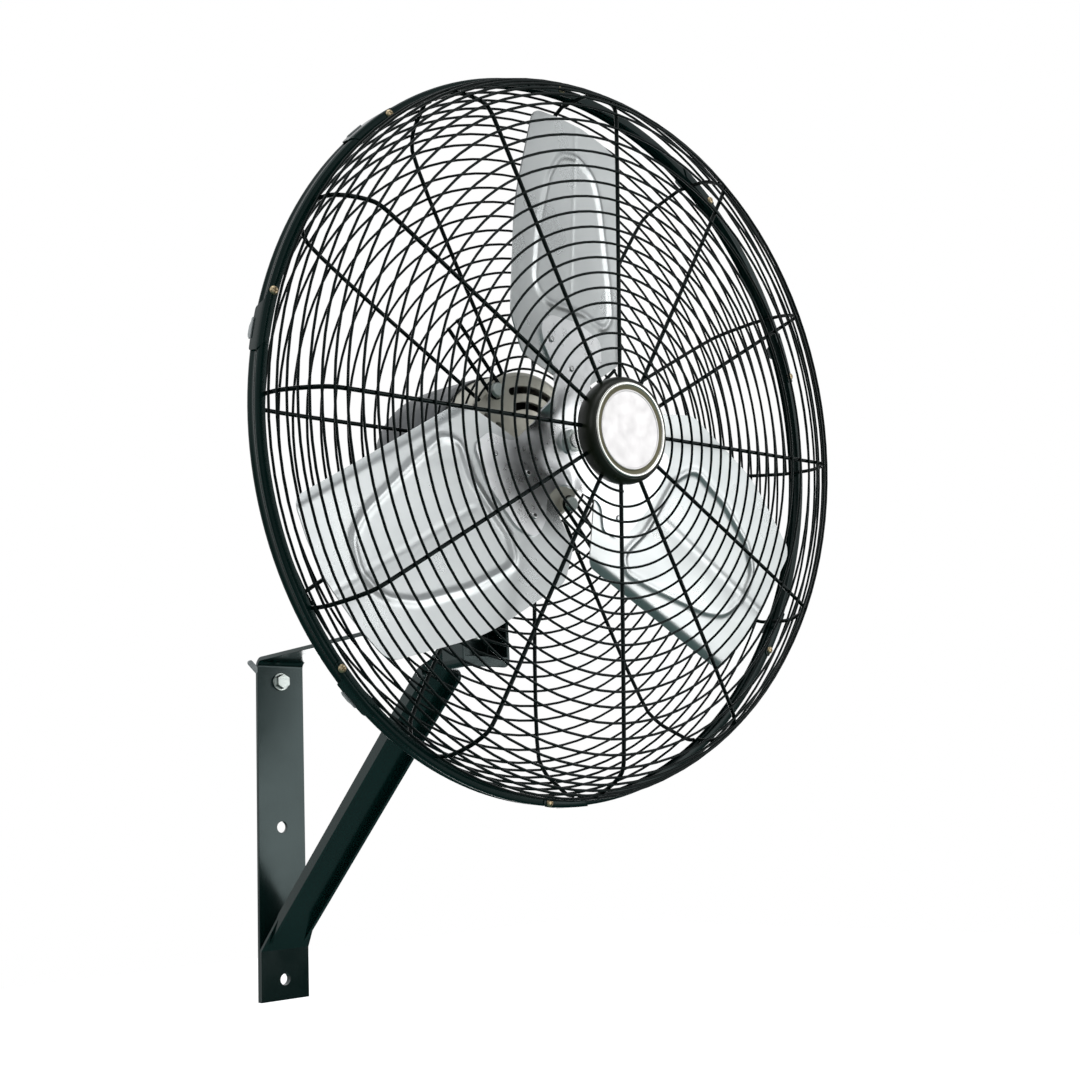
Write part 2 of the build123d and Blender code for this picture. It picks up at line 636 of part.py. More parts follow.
def blade_plane(index, pitch, shift):
    """Plane of one blade: x along its reference line, z to the front, shifted along z."""
    lean = math.radians(pitch)
    along_axis = Vector(*FORWARD)
    outward = radial(BLADE_ANGLE + 360 / BLADE_COUNT * index)
    tangent = along_axis.cross(outward)
    normal = along_axis * math.cos(lean) - tangent * math.sin(lean)
    return Plane(origin=head_point(0, 0, BLADE_DEPTH), x_dir=outward, z_dir=normal).offset(shift)


def sheet_section(index, reach, pitch, back, front):
    """Section of a blade's cambered sheet between two heights over its plane."""
    flat = blade_plane(index, pitch, 0)
    middle = flat.from_local_coords(Vector(reach, 0, 0))
    with BuildSketch(Plane(origin=middle, x_dir=flat.y_dir, z_dir=flat.x_dir)) as section:
        with BuildLine():
            ThreePointArc((-SHEET_LOW, back), (CAMBER_T, back - CAMBER), (SHEET_HIGH, back))
            Line((SHEET_HIGH, back), (SHEET_HIGH, front))
            ThreePointArc((SHEET_HIGH, front), (CAMBER_T, front - CAMBER), (-SHEET_LOW, front))
            Line((-SHEET_LOW, front), (-SHEET_LOW, back))
        make_face()
    return section.sketch


def blade_sheet(index, back, front):
    """Cambered and twisted sheet of one blade between two heights over its plane."""
    with BuildPart() as sheet:
        add(sheet_section(index, SHEET_IN, ROOT_PITCH, back, front))
        add(sheet_section(index, SHEET_OUT, TIP_PITCH, back, front))
        loft(ruled=True)
    return sheet.part


def make_blade(index):
    """One blade: the sheet trimmed to its outline, with a pressed loop rib."""
    with BuildPart() as blade:
        add(blade_sheet(index, 0, BLADE_THICK))
        with BuildSketch(blade_plane(index, 13, -40)) as outline:
            with BuildLine():
                Line((84, -58), (252, -30))
                ThreePointArc((252, -30), (BLADE_TIP_R, 30), (236, 94))
                ThreePointArc((236, 94), (155, 107), (70, 98))
                Polyline((70, 98), (46, 76), (46, -12), (84, -58))
            make_face()
            fillet(outline.vertices(), 14)
        extrude(amount=90, mode=Mode.INTERSECT)
    with BuildPart() as rib:
        add(blade_sheet(index, BLADE_THICK / 2, BLADE_THICK + RIB_RISE))
        with BuildSketch(blade_plane(index, 13, -40)):
            with BuildSketch(mode=Mode.PRIVATE) as loop:
                Polygon(*RIB_CORNERS, align=None)
                fillet(loop.vertices(), RIB_FILLET)
            offset(loop.sketch, RIB_HALF)
            offset(loop.sketch, -RIB_HALF, mode=Mode.SUBTRACT)
        extrude(amount=90, mode=Mode.INTERSECT)
    with blade:
        add(rib.part)
    return blade


for number in range(BLADE_COUNT):
    finish(make_blade(number), f"blade_{number + 1}")


def spider_outline(index):
    """Plan of one spider arm from the shaft out: a neck that widens to a rounded foot."""
    turn = BLADE_ANGLE + 360 / BLADE_COUNT * index
    with BuildSketch(mode=Mode.PRIVATE) as arm:
        Polygon(*ARM_CORNERS, align=None)
        fillet(arm.vertices().group_by(Axis.X)[-1], ARM_FILLET)
    return arm.sketch.rotate(Axis.Z, turn)


def make_arm(index):
    """One arm: a neck that twists up from the flat middle to a foot on its blade's front."""
    flat = blade_plane(index, 0, 0)
    middle = head_point(0, 0, SPIDER_DEPTH) + flat.x_dir * NECK_IN
    with BuildPart() as arm:
        with BuildSketch(Plane(origin=middle, x_dir=flat.y_dir, z_dir=flat.x_dir)):
            with Locations(((SHEET_HIGH - SHEET_LOW) / 2, -SPIDER_THICK / 2)):
                Rectangle(SHEET_LOW + SHEET_HIGH, SPIDER_THICK)
        for reach in (NECK_OUT, FOOT_OUT):
            pitch = ROOT_PITCH + (TIP_PITCH - ROOT_PITCH) * (reach - SHEET_IN) / (SHEET_OUT - SHEET_IN)
            add(sheet_section(index, reach, pitch, BLADE_THICK, BLADE_THICK + SPIDER_THICK))
        loft(ruled=True)
        with BuildSketch(HEAD.offset(-60)):
            add(spider_outline(index))
        extrude(amount=120, mode=Mode.INTERSECT)
    return arm.part


# Spider: one stamping with a flat round middle and three arms that are riveted on the blades.
with BuildPart() as blade_spider:
    with BuildSketch(HEAD.offset(HUB_FACE)):
        for index in range(BLADE_COUNT):
            add(spider_outline(index))
        RegularPolygon(
            NECK_IN, BLADE_COUNT, major_radius=False, rotation=BLADE_ANGLE - 180 / BLADE_COUNT,
            mode=Mode.INTERSECT,
        )
        Circle(SPIDER_R)
        Circle(SHAFT_R, mode=Mode.SUBTRACT)
    extrude(amount=SPIDER_THICK)
    for index in range(BLADE_COUNT):
        add(make_arm(index))
finish(blade_spider, "blade_spider")

finish(ring(15, SHAFT_R, HUB_BACK, HUB_FACE - HUB_BACK), "blade_hub")

finish(ring(11, SHAFT_R, SPIDER_DEPTH, HUB_WASHER_H), "hub_washer")
with BuildPart() as hub_nut:
    with BuildSketch(HEAD.offset(SPIDER_DEPTH + HUB_WASHER_H)):
        RegularPolygon(8, 6, major_radius=False)
        Circle(SHAFT_R, mode=Mode.SUBTRACT)
    extrude(amount=NUT_H)
finish(hub_nut, "hub_nut")

RIVETS = ((77, -12), (56, 11), (69, 43))
RIVET_R = 2.9
with BuildPart() as blade_rivets:
    for index in range(BLADE_COUNT):
        for reach, aside in RIVETS:
            half = (SHEET_LOW + SHEET_HIGH) / 2
            hollow = CAMBER * (1 - ((aside - CAMBER_T) / half) ** 2)
            seat_plane = blade_plane(index, ROOT_PITCH, BLADE_THICK + SPIDER_THICK - hollow)
            seat = seat_plane.from_local_coords(Vector(reach, aside, 0))
            with BuildSketch(Plane(origin=seat, z_dir=seat_plane.z_dir)):
                RegularPolygon(RIVET_R, 10)
            extrude(amount=1.4, taper=30)
finish(blade_rivets, "blade_rivets")
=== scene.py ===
import bpy
import math
from mathutils import Matrix, Vector


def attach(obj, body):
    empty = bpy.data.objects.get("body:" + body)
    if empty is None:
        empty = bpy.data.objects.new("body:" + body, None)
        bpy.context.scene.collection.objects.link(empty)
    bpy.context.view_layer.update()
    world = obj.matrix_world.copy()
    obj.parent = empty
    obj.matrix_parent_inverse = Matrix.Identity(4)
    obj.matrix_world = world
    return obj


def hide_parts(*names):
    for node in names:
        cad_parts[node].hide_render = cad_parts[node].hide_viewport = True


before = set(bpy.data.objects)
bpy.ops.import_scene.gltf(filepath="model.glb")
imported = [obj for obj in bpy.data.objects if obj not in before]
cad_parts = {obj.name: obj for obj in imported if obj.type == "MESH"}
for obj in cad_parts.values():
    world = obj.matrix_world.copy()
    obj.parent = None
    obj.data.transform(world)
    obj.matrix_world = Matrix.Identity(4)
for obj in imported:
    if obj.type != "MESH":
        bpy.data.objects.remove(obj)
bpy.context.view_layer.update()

# ======================================================================
# Studio
# A white sweep with soft panels, as a catalogue photograph has. The camera stands low, in front
# and to the left, and looks up at the guard.
# ======================================================================

MM = 0.001
CAMERA_PLACE = (-0.6887, -1.1807, 0.0681)
CAMERA_YAW = 41.77
CAMERA_PITCH = 11.85
CAMERA_ROLL = -3.04
FOCAL_PIXELS = 1320.5
PHOTO_PIXELS = 1080
SENSOR = 36.0

# Colours that the gloss sees, from straight down (0) to straight up (1).
ROOM = (
    (0.00, (0.10, 0.17, 0.165)), (0.20, (0.10, 0.17, 0.165)), (0.33, (0.03, 0.04, 0.04)),
    (0.46, (0.02, 0.02, 0.02)), (0.52, (0.20, 0.21, 0.21)), (0.62, (0.42, 0.43, 0.44)),
    (0.80, (0.46, 0.47, 0.48)), (1.00, (0.78, 0.80, 0.82)),
)
# Each soft box has a direction, the angles where its glow is full and where it ends, and a level.
SOFT_BOXES = (
    ((0.60, -0.78, 0.18), 12, 40, 0.4),
    ((-0.95, -0.1, 0.25), 8, 22, 0.5),
    ((0.1, 0.95, 0.3), 20, 40, 0.6),
    ((0.87, -0.39, 0.29), 10, 30, 0.35),
    ((0.52, -0.80, -0.29), 8, 24, 0.6),
    ((0.53, 0.83, -0.13), 6, 18, 2.6),
    ((-0.45, -0.85, -0.15), 20, 50, 0.45),
    ((0.9, 0.3, 0.0), 20, 45, 0.5),
    ((-0.7, 0.7, 0.0), 20, 45, 0.5),
)
# Each lamp has a name, a place, a size and a power in watts.
PANELS = (
    ("front_panel", (1.73, -3.21, 0.33), (2.7, 2.35), 37),
    ("top_panel", (-0.8, -1.2, 3.2), (2.4, 2.4), 26),
    ("left_panel", (-3.2, -0.6, 1.2), (2.0, 2.0), 10),
)
PANEL_AIM = Vector((0, -0.3, 0.3))
FLOOR_PLACE, FLOOR_SIZE = (0, 0, -0.45), 8
CARD_PLACE, CARD_SCALE = (0.34, -0.52, -0.25), (0.5, 0.42, 1)


def tint(code):
    """An sRGB hex colour as the linear values that Blender's sockets take."""
    parts = [int(code[k:k + 2], 16) / 255 for k in (1, 3, 5)]
    return [p / 12.92 if p <= 0.04045 else ((p + 0.055) / 1.055) ** 2.4 for p in parts] + [1.0]


def add_node(tree, kind, inputs=None, **settings):
    """Adds a node, sets its properties, and sets or links its inputs."""
    made = tree.nodes.new(kind)
    for key, value in settings.items():
        setattr(made, key, value)
    for key, value in (inputs or {}).items():
        if isinstance(value, bpy.types.NodeSocket):
            tree.links.new(value, made.inputs[key])
        else:
            made.inputs[key].default_value = value
    return made


def new_shader(name, colour, **sockets):
    """Starts a material of one colour, and sets its shader's other sockets."""
    made = bpy.data.materials.new(name)
    made.use_nodes = True
    shader = made.node_tree.nodes["Principled BSDF"]
    shader.inputs["Base Color"].default_value = tint(colour)
    for key, value in sockets.items():
        shader.inputs[key.replace("_", " ")].default_value = value
    return made, shader


def stage_sheet(name, material, **shape):
    """A flat sheet of the studio, which isn't part of the object."""
    bpy.ops.object.select_all(action="DESELECT")
    bpy.ops.mesh.primitive_plane_add(**shape)
    sheet = bpy.context.object
    sheet.name = name
    sheet.data.materials.append(material)
    return sheet


scene = bpy.context.scene
scene.view_settings.view_transform = "Standard"

camera_data = bpy.data.cameras.new("photo_camera")
camera_data.sensor_width = SENSOR
camera_data.sensor_fit = "HORIZONTAL"
camera_data.lens = FOCAL_PIXELS / PHOTO_PIXELS * SENSOR
camera = bpy.data.objects.new("photo_camera", camera_data)
scene.collection.objects.link(camera)
camera.location = CAMERA_PLACE
camera.rotation_euler = (
    Matrix.Rotation(math.radians(-CAMERA_YAW), 3, "Z")
    @ Matrix.Rotation(math.radians(90 + CAMERA_PITCH), 3, "X")
    @ Matrix.Rotation(math.radians(CAMERA_ROLL), 3, "Z")
).to_euler()
scene.camera = camera

# The camera sees plain white, and everything else sees the room and its soft boxes.
world = bpy.data.worlds.new("white_studio")
scene.world = world
world.use_nodes = True
tree = world.node_tree
tree.nodes.clear()
ray = add_node(tree, "ShaderNodeLightPath").outputs["Is Camera Ray"]
direction = add_node(tree, "ShaderNodeTexCoord").outputs["Generated"]
height = add_node(tree, "ShaderNodeSeparateXYZ", {0: direction}).outputs["Z"]
rise = add_node(tree, "ShaderNodeMapRange", {0: height, 1: -1.0, 2: 1.0})
walls = add_node(tree, "ShaderNodeValToRGB", {0: rise.outputs[0]})
stops = walls.color_ramp.elements
stops[0].color, stops[1].color = (*ROOM[0][1], 1), (*ROOM[-1][1], 1)
for place, colour in ROOM[1:-1]:
    stops.new(place).color = (*colour, 1)
glow = walls.outputs[0]
for way, inner, outer, level in SOFT_BOXES:
    toward = add_node(tree, "ShaderNodeVectorMath", {0: direction, 1: way}, operation="DOT_PRODUCT")
    ends = [math.cos(math.radians(angle)) for angle in (outer, inner)]
    near = add_node(tree, "ShaderNodeMapRange", {
        0: toward.outputs["Value"], 1: ends[0], 2: ends[1], 3: 0.0, 4: level,
    }, interpolation_type="SMOOTHSTEP")
    lit = add_node(tree, "ShaderNodeMix", {6: glow, 7: near.outputs[0], 0: 1.0},
                   data_type="RGBA", blend_type="ADD")
    glow = lit.outputs[2]
room = add_node(tree, "ShaderNodeBackground", {"Color": glow, "Strength": 1.0})
backdrop = add_node(tree, "ShaderNodeBackground", {"Color": tint("#ffffff"), "Strength": 1.0})
mixed = add_node(tree, "ShaderNodeMixShader", {0: ray, 1: room.outputs[0], 2: backdrop.outputs[0]})
add_node(tree, "ShaderNodeOutputWorld", {0: mixed.outputs[0]})

for name, place, size, power in PANELS:
    lamp_data = bpy.data.lights.new(name, "AREA")
    lamp_data.shape = "RECTANGLE"
    lamp_data.size, lamp_data.size_y = size
    lamp_data.energy = power
    lamp = bpy.data.objects.new(name, lamp_data)
    scene.collection.objects.link(lamp)
    lamp.location = place
    lamp.rotation_euler = (PANEL_AIM - Vector(place)).to_track_quat("-Z", "Y").to_euler()

paper, _ = new_shader("white_backdrop_paper", "#f5f5f5", Roughness=0.9,
                      Emission_Color=tint("#ffffff"), Emission_Strength=0.45)
floor = stage_sheet("studio_floor", paper, size=FLOOR_SIZE, location=FLOOR_PLACE)
floor.visible_glossy = floor.visible_shadow = False

# A black card, which only the gloss sees, keeps the panel out of the foot of the plate.
felt, _ = new_shader("black_felt_card", "#020202", Roughness=1.0, Specular_IOR_Level=0.0)
card = stage_sheet("black_card", felt, size=1, location=CARD_PLACE,
                   rotation=(math.radians(90), 0, 0))
card.scale = CARD_SCALE
card.visible_camera = card.visible_diffuse = card.visible_shadow = False
card.visible_transmission = False

# ======================================================================
# Wall bar, arm and side hook
# One flat steel bar bent at the top, with rolled edges. It is powder coated in gloss black, which
# has the faint pebble that such a coat dries to. A bare grey hook stands out at the bend.
# ======================================================================

COOL_GLOSS = (0.8, 1.0, 1.0, 1.0)


def grains(size_mm):
    """Scale of a noise texture whose grains are as large as the size given."""
    return 1 / (size_mm * MM)


def relief(tree, shader, heights, depth_mm, strength):
    """Fine relief from the heights of a texture."""
    bump = add_node(tree, "ShaderNodeBump", {
        "Height": heights, "Distance": depth_mm * MM, "Strength": strength})
    tree.links.new(bump.outputs[0], shader.inputs["Normal"])


def patchy_gloss(tree, shader, where, size_mm, low, high, detail=4.0):
    """Lets the roughness wander between two limits over patches of the size given."""
    cloud = add_node(tree, "ShaderNodeTexNoise", {
        "Vector": where, "Scale": grains(size_mm), "Detail": detail})
    spread = add_node(tree, "ShaderNodeMapRange", {
        0: cloud.outputs[0], 1: 0.3, 2: 0.7, 3: low, 4: high})
    tree.links.new(spread.outputs[0], shader.inputs["Roughness"])


def finish(name, colour, metal, pebble, gloss, **sockets):
    """A material: pebble is grain size, depth and strength, and gloss is patch size and limits."""
    made, shader = new_shader(name, colour, Metallic=metal, **sockets)
    tree = made.node_tree
    where = add_node(tree, "ShaderNodeTexCoord").outputs["Object"]
    size_mm, depth_mm, strength = pebble
    grain = add_node(tree, "ShaderNodeTexNoise", {"Vector": where, "Scale": grains(size_mm)})
    relief(tree, shader, grain.outputs[0], depth_mm, strength)
    patchy_gloss(tree, shader, where, *gloss)
    return made


black_coat = finish("gloss_black_powder_coat", "#01110f", 0.0, (3.5, 0.04, 0.06),
                    (40, 0.14, 0.24), Specular_Tint=COOL_GLOSS)
bare_steel = finish("bare_grey_steel", "#858b8c", 0.55, (0.8, 0.05, 0.3), (6, 0.35, 0.55))


def only(obj):
    """Makes one object the selected and active one."""
    bpy.ops.object.select_all(action="DESELECT")
    obj.select_set(True)
    bpy.context.view_layer.objects.active = obj


def smooth(obj, angle):
    """Shades an object smooth, apart from edges sharper than the angle."""
    only(obj)
    bpy.ops.object.shade_smooth_by_angle(angle=math.radians(angle))


def roll_edges(obj, radius, segments=2, angle=35):
    """Rolls over the sharp edges, shades them smooth and keeps the flat faces evenly lit."""
    only(obj)
    bevel = obj.modifiers.new("rolled_edges", "BEVEL")
    bevel.width = radius * MM
    bevel.segments = segments
    bevel.limit_method = "ANGLE"
    bevel.angle_limit = math.radians(angle)
    bevel.use_clamp_overlap = True
    bpy.ops.object.modifier_apply(modifier=bevel.name)
    smooth(obj, angle)
    even = obj.modifiers.new("even_faces", "WEIGHTED_NORMAL")
    even.keep_sharp = True
    bpy.ops.object.modifier_apply(modifier=even.name)


def settle(obj, material, body, slot, *nodes):
    """Gives a finished piece its finish, its body and the solids that it stands for."""
    obj.data.materials.clear()
    obj.data.materials.append(material)
    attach(obj, body)
    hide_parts(*nodes)


def soften(node, name, radius, material, body, slot, segments=2):
    """Stands a merged copy of a solid, with its sharp edges rolled over, in the solid's place."""
    obj = bpy.data.objects.new(name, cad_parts[node].data.copy())
    scene.collection.objects.link(obj)
    only(obj)
    bpy.ops.object.mode_set(mode="EDIT")
    bpy.ops.mesh.select_all(action="SELECT")
    bpy.ops.mesh.remove_doubles(threshold=0.002 * MM)
    bpy.ops.mesh.dissolve_limited(angle_limit=math.radians(0.6))
    bpy.ops.object.mode_set(mode="OBJECT")
    roll_edges(obj, radius, segments)
    settle(obj, material, body, slot, node)


def dress(material, *nodes):
    """Gives solids that show as they are a finish."""
    for node in nodes:
        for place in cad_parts[node].material_slots:
            place.material = material


soften("wall_bracket", "wall_bar", 0.9, black_coat, "bracket", "black_steel", segments=3)
soften("side_hook", "bend_hook", 1.0, bare_steel, "bracket", "dark_paint", segments=3)

# ======================================================================
# Diagonal brace and box under the arm's end
# Pressed steel channel from the foot of the plate to the arm's end, and a small welded box.
# Both have the same coat as the bar.
# ======================================================================

soften("diagonal_brace", "pressed_brace", 0.7, black_coat, "bracket", "black_steel", segments=3)
soften("arm_end_bracket", "arm_end_box", 0.7, black_coat, "bracket", "black_steel", segments=3)

# ======================================================================
# Bolts of the bracket and the swivel
# Zinc plated steel with a blue passivate: the flange bolt in the plate, the pan bolt with its
# washer and nut, and the tilt bolt across the clevis.
# ======================================================================

zinc_plate = finish("blue_zinc_plate", "#c5cdc9", 1.0, (0.7, 0.03, 0.3), (3, 0.24, 0.42))

# Each row has a solid, its body and the radius of its edges in mm.
BOLTS = (
    ("wall_bolt", "bracket", 0.5), ("pivot_bolt", "bracket", 0.5), ("pivot_nut", "bracket", 0.5),
    ("tilt_bolt", "swivel", 0.5), ("tilt_nut", "swivel", 0.5), ("pivot_washer", "bracket", 0.3),
    ("swivel_washer", "swivel", 0.3),
)
for node, body, radius in BOLTS:
    soften(node, f"zinc_{node}", radius, zinc_plate, body, "zinc")

# ======================================================================
# Swivel clevis and motor foot
# A cast and painted black swivel: the clevis pans on the arm, and the foot tilts in it.
# ======================================================================

soften("swivel_clevis", "black_clevis", 0.8, black_coat, "swivel", "black_steel")
soften("motor_foot", "cast_motor_foot", 1.2, black_coat, "head", "black_steel")

# ======================================================================
# Motor
# A front cover of beige enamelled steel with vent slots, a deep drawn dark grey rear cover, and
# inside them the laminated core, the bearings and the rotor on its ground shaft.
# ======================================================================

beige_enamel = finish("beige_grey_enamel", "#b9b7ab", 0.5, (1.2, 0.04, 0.3), (12, 0.34, 0.5))
dark_enamel = finish("dark_grey_enamel", "#33373a", 0.0, (1.2, 0.05, 0.4), (15, 0.32, 0.5))
core_sheets = finish("stamped_core_sheets", "#54514c", 0.8, (0.6, 0.05, 0.5), (5, 0.4, 0.6))
ground_steel = finish("ground_steel", "#c4c6c6", 1.0, (0.5, 0.02, 0.3), (4, 0.14, 0.28))

soften("motor_front_cover", "motor_front_shell", 0.5, beige_enamel, "head", "beige_paint")

# The head's pieces are made round the Z axis with their front upward, and depths are counted
# forward from the head's centre. Then they are laid down to the head's tilt.
HEAD_CENTRE = Vector((0, -0.460, 0.3556))
HEAD_TILT = 6.5
HEAD_PLACE = (
    Matrix.Translation(HEAD_CENTRE) @ Matrix.Rotation(math.radians(90 + HEAD_TILT), 4, "X")
)


def placed(obj, place):
    """Moves a piece and applies the move to its mesh."""
    only(obj)
    obj.matrix_world = place
    bpy.ops.object.transform_apply(location=True, rotation=True, scale=True)
    return obj


def on_head(obj):
    """Sets an upright piece on the head."""
    return placed(obj, HEAD_PLACE)


def spun(name, profile, steps):
    """Spins a (radius, height) outline round the Z axis."""
    bpy.ops.object.select_all(action="DESELECT")
    bpy.ops.mesh.primitive_plane_add(size=MM)
    obj = bpy.context.object
    obj.name = obj.data.name = name
    bpy.ops.object.mode_set(mode="EDIT")
    bpy.ops.mesh.select_all(action="SELECT")
    bpy.ops.mesh.merge(type="CENTER")
    points = [Vector((radius, 0, level)) * MM for radius, level in profile]
    bpy.ops.transform.translate(value=points[0])
    for before, after in zip(points, points[1:]):
        bpy.ops.mesh.extrude_region_move(TRANSFORM_OT_translate={"value": after - before})
    bpy.ops.mesh.select_all(action="SELECT")
    bpy.ops.mesh.spin(steps=steps, angle=2 * math.pi, center=(0, 0, 0), axis=(0, 0, 1))
    bpy.ops.mesh.select_all(action="SELECT")
    bpy.ops.mesh.remove_doubles(threshold=0.005 * MM)
    bpy.ops.mesh.normals_make_consistent(inside=False)
    bpy.ops.object.mode_set(mode="OBJECT")
    return obj


def lathed(name, profile, steps=128, edge=0.0, angle=30):
    """A turned piece of the head, with its sharp edges rolled over where an edge is given."""
    obj = spun(name, profile, steps)
    if edge:
        roll_edges(obj, edge, angle=angle)
    else:
        smooth(obj, angle)
    return on_head(obj)


def eased(profile):
    """The same line with its corners cut twice, as a bent wire has them."""
    for _ in range(2):
        cut = [profile[0]]
        for (r0, d0), (r1, d1) in zip(profile, profile[1:]):
            cut += [(0.75 * r0 + 0.25 * r1, 0.75 * d0 + 0.25 * d1),
                    (0.25 * r0 + 0.75 * r1, 0.25 * d0 + 0.75 * d1)]
        profile = cut + [profile[-1]]
    return profile


REAR_OUTSIDE = ((0, -216), (26, -216), (46, -210), (59, -197), (66, -174), (66, -97))
REAR_INSIDE = (
    (65.6, -96), (63.5, -96), (63.5, -174), (57, -195), (44, -208), (26, -213.5), (0, -213.5),
)
rear_shell = lathed("motor_rear_shell", [*eased(REAR_OUTSIDE), *REAR_INSIDE], angle=40)
settle(rear_shell, dark_enamel, "head", "dark_paint", "motor_rear_cover")
dress(core_sheets, "stator_core", "rotor_core")
dress(ground_steel, "front_bearing", "rear_bearing", "motor_shaft")

# ======================================================================
# Rear guard
# One 2 mm wire wound as a flat spiral and then as a wall, welded over twelve bent 3 mm spokes.
# A closed ring ends the spokes, and four hairpins under pan head screws hold it on the motor.
# ======================================================================

WIRE_R = 1.0
SPOKE_R = 1.6
WELD = 0.2
SPOKE_BELOW = WIRE_R + SPOKE_R - WELD
WIRE_START = -87.8
WIRE_PITCH = 11.5
TURN_STEPS = 96
CAD_TURN_STEPS = 24
SPOKES = 12
SPOKE_START = 92.2
SPOKE_BEND = 8


def polar(radius, angle, depth):
    """Point of the upright head, in metres, from its radius, angle and depth."""
    turn = math.radians(angle)
    return Vector((radius * math.cos(turn), radius * math.sin(turn), depth)) * MM


def line_length(profile):
    """Length of a line of points."""
    return sum(math.dist(p, q) for p, q in zip(profile, profile[1:]))


def along(profile, share):
    """Point of a radius and depth line at a share of its length."""
    left = share * line_length(profile)
    for p, q in zip(profile, profile[1:]):
        length = math.dist(p, q)
        if left <= length:
            return [a + (b - a) * left / length for a, b in zip(p, q)]
        left -= length
    return profile[-1]


def inside(profile, distance):
    """The same line, moved toward the head's inside."""
    side = 1 if profile[0][1] < 0 else -1
    moved = []
    for k, (radius, depth) in enumerate(profile):
        before, after = profile[max(k - 1, 0)], profile[min(k + 1, len(profile) - 1)]
        run, rise = after[0] - before[0], after[1] - before[1]
        length = math.hypot(run, rise)
        moved.append((radius - abs(rise) / length * distance,
                      depth + side * run / length * distance))
    return moved


def bent_wires(name, lines, radius, closed=False):
    """Round wires along lines of points, as one mesh on the head."""
    curve = bpy.data.curves.new(name, "CURVE")
    curve.dimensions = "3D"
    curve.bevel_depth = radius * MM
    curve.bevel_resolution = 2
    curve.use_fill_caps = True
    for points in lines:
        spline = curve.splines.new("POLY")
        spline.points.add(len(points) - 1)
        spline.use_cyclic_u = closed
        for place, point in zip(spline.points, points):
            place.co = (*point, 1)
    obj = bpy.data.objects.new(name, curve)
    scene.collection.objects.link(obj)
    only(obj)
    bpy.ops.object.convert(target="MESH")
    wires = bpy.context.object
    smooth(wires, 60)
    return on_head(wires)


def guard_wire(name, face, wall, wall_turns):
    """One wire that winds clockwise and outward over the face and then up the wall."""
    # The face's turns end on one of the solid's steps.
    face_steps = round((face[1][0] - face[0][0]) / WIRE_PITCH * CAD_TURN_STEPS)
    points, angle = [], WIRE_START
    for line, turns in ((face, face_steps / CAD_TURN_STEPS), (eased(wall), wall_turns)):
        steps = round(turns * TURN_STEPS)
        for k in range(1 if points else 0, steps + 1):
            radius, depth = along(line, k / steps)
            points.append(polar(radius, angle - k / steps * turns * 360, depth))
        angle -= turns * 360
    return bent_wires(name, [points], WIRE_R)


def guard_spokes(name, start, wall):
    """Bent radial wires inside the wound one."""
    bend = (wall[0][0] - SPOKE_BEND, start[1])
    line = eased([start, bend] + inside(wall, SPOKE_BELOW)[1:])
    angles = [SPOKE_START + k * 360 / SPOKES for k in range(SPOKES)]
    return bent_wires(name, [[polar(r, a, d) for r, d in line] for a in angles], SPOKE_R)


wire_coat = finish("gloss_black_wire_coat", "#010504", 0.0, (1.6, 0.03, 0.15), (20, 0.1, 0.2),
                   Specular_IOR_Level=0.1, Specular_Tint=COOL_GLOSS)

REAR_DEPTH = -55.0
REAR_FACE = ((70.0, REAR_DEPTH), (251.0, REAR_DEPTH))
REAR_WALL = (
    (251.0, REAR_DEPTH), (262.5, -43.0), (270.0, -30.0), (275.5, -20.0), (278.0, -15.0),
    (277.6, -8.0),
)
REAR_WALL_TURNS = 6
REAR_SPOKES_FROM = (65.0, REAR_DEPTH + SPOKE_BELOW)
settle(guard_wire("rear_guard_wire", REAR_FACE, REAR_WALL[:-1], REAR_WALL_TURNS), wire_coat,
       "head", "black_steel", "rear_face_wire", "rear_wall_wire")
settle(guard_spokes("rear_guard_spokes", REAR_SPOKES_FROM, REAR_WALL), wire_coat,
       "head", "black_steel", "rear_spokes")

RING_R = 65.6
ring_line = [polar(RING_R, angle, REAR_DEPTH) for angle in range(0, 360, 5)]
settle(bent_wires("rear_guard_ring", [ring_line], WIRE_R, closed=True), wire_coat,
       "head", "black_steel", "rear_inner_ring")

HAIRPIN_ANGLES = (45, 135, 225, 315)
HAIRPIN_BEND_AT = 58.0
HAIRPIN_HALF = 6.0
HAIRPIN_OUT = 122.0
HAIRPIN_DEPTH = -52.7
bend = [(HAIRPIN_BEND_AT - HAIRPIN_HALF * math.sin(math.radians(t)),
         HAIRPIN_HALF * math.cos(math.radians(t))) for t in range(0, 181, 15)]
flat = [(HAIRPIN_OUT, HAIRPIN_HALF), *bend, (HAIRPIN_OUT, -HAIRPIN_HALF)]
hairpins = []
for angle in HAIRPIN_ANGLES:
    turned = Matrix.Rotation(math.radians(angle), 3, "Z")
    hairpins.append([turned @ (Vector((x, y, HAIRPIN_DEPTH)) * MM) for x, y in flat])
settle(bent_wires("guard_hairpins", hairpins, SPOKE_R), wire_coat,
       "head", "black_steel", "rear_mount_loops")
soften("guard_screws", "pan_head_screws", 0.6, zinc_plate, "head", "zinc")

# ======================================================================
# Fan: hub, blades and spider
# Three blades of rolled aluminium sheet with a pressed loop rib, riveted behind a stamped and
# polished spider that a nut holds on the shaft.
# ======================================================================

BLADES = 3
BLADE_ANGLE = 83.3
BLADE_DEPTH = -5.0
BLADE_THICK = 1.2
ROOT_PITCH, ROOT_REACH = 15.0, 10.0
TIP_PITCH, TIP_REACH = 11.5, 270.0
CAMBER, CAMBER_AT, CAMBER_HALF = 5.0, 20.0, 95.0
SHEET_CELL = 1.7
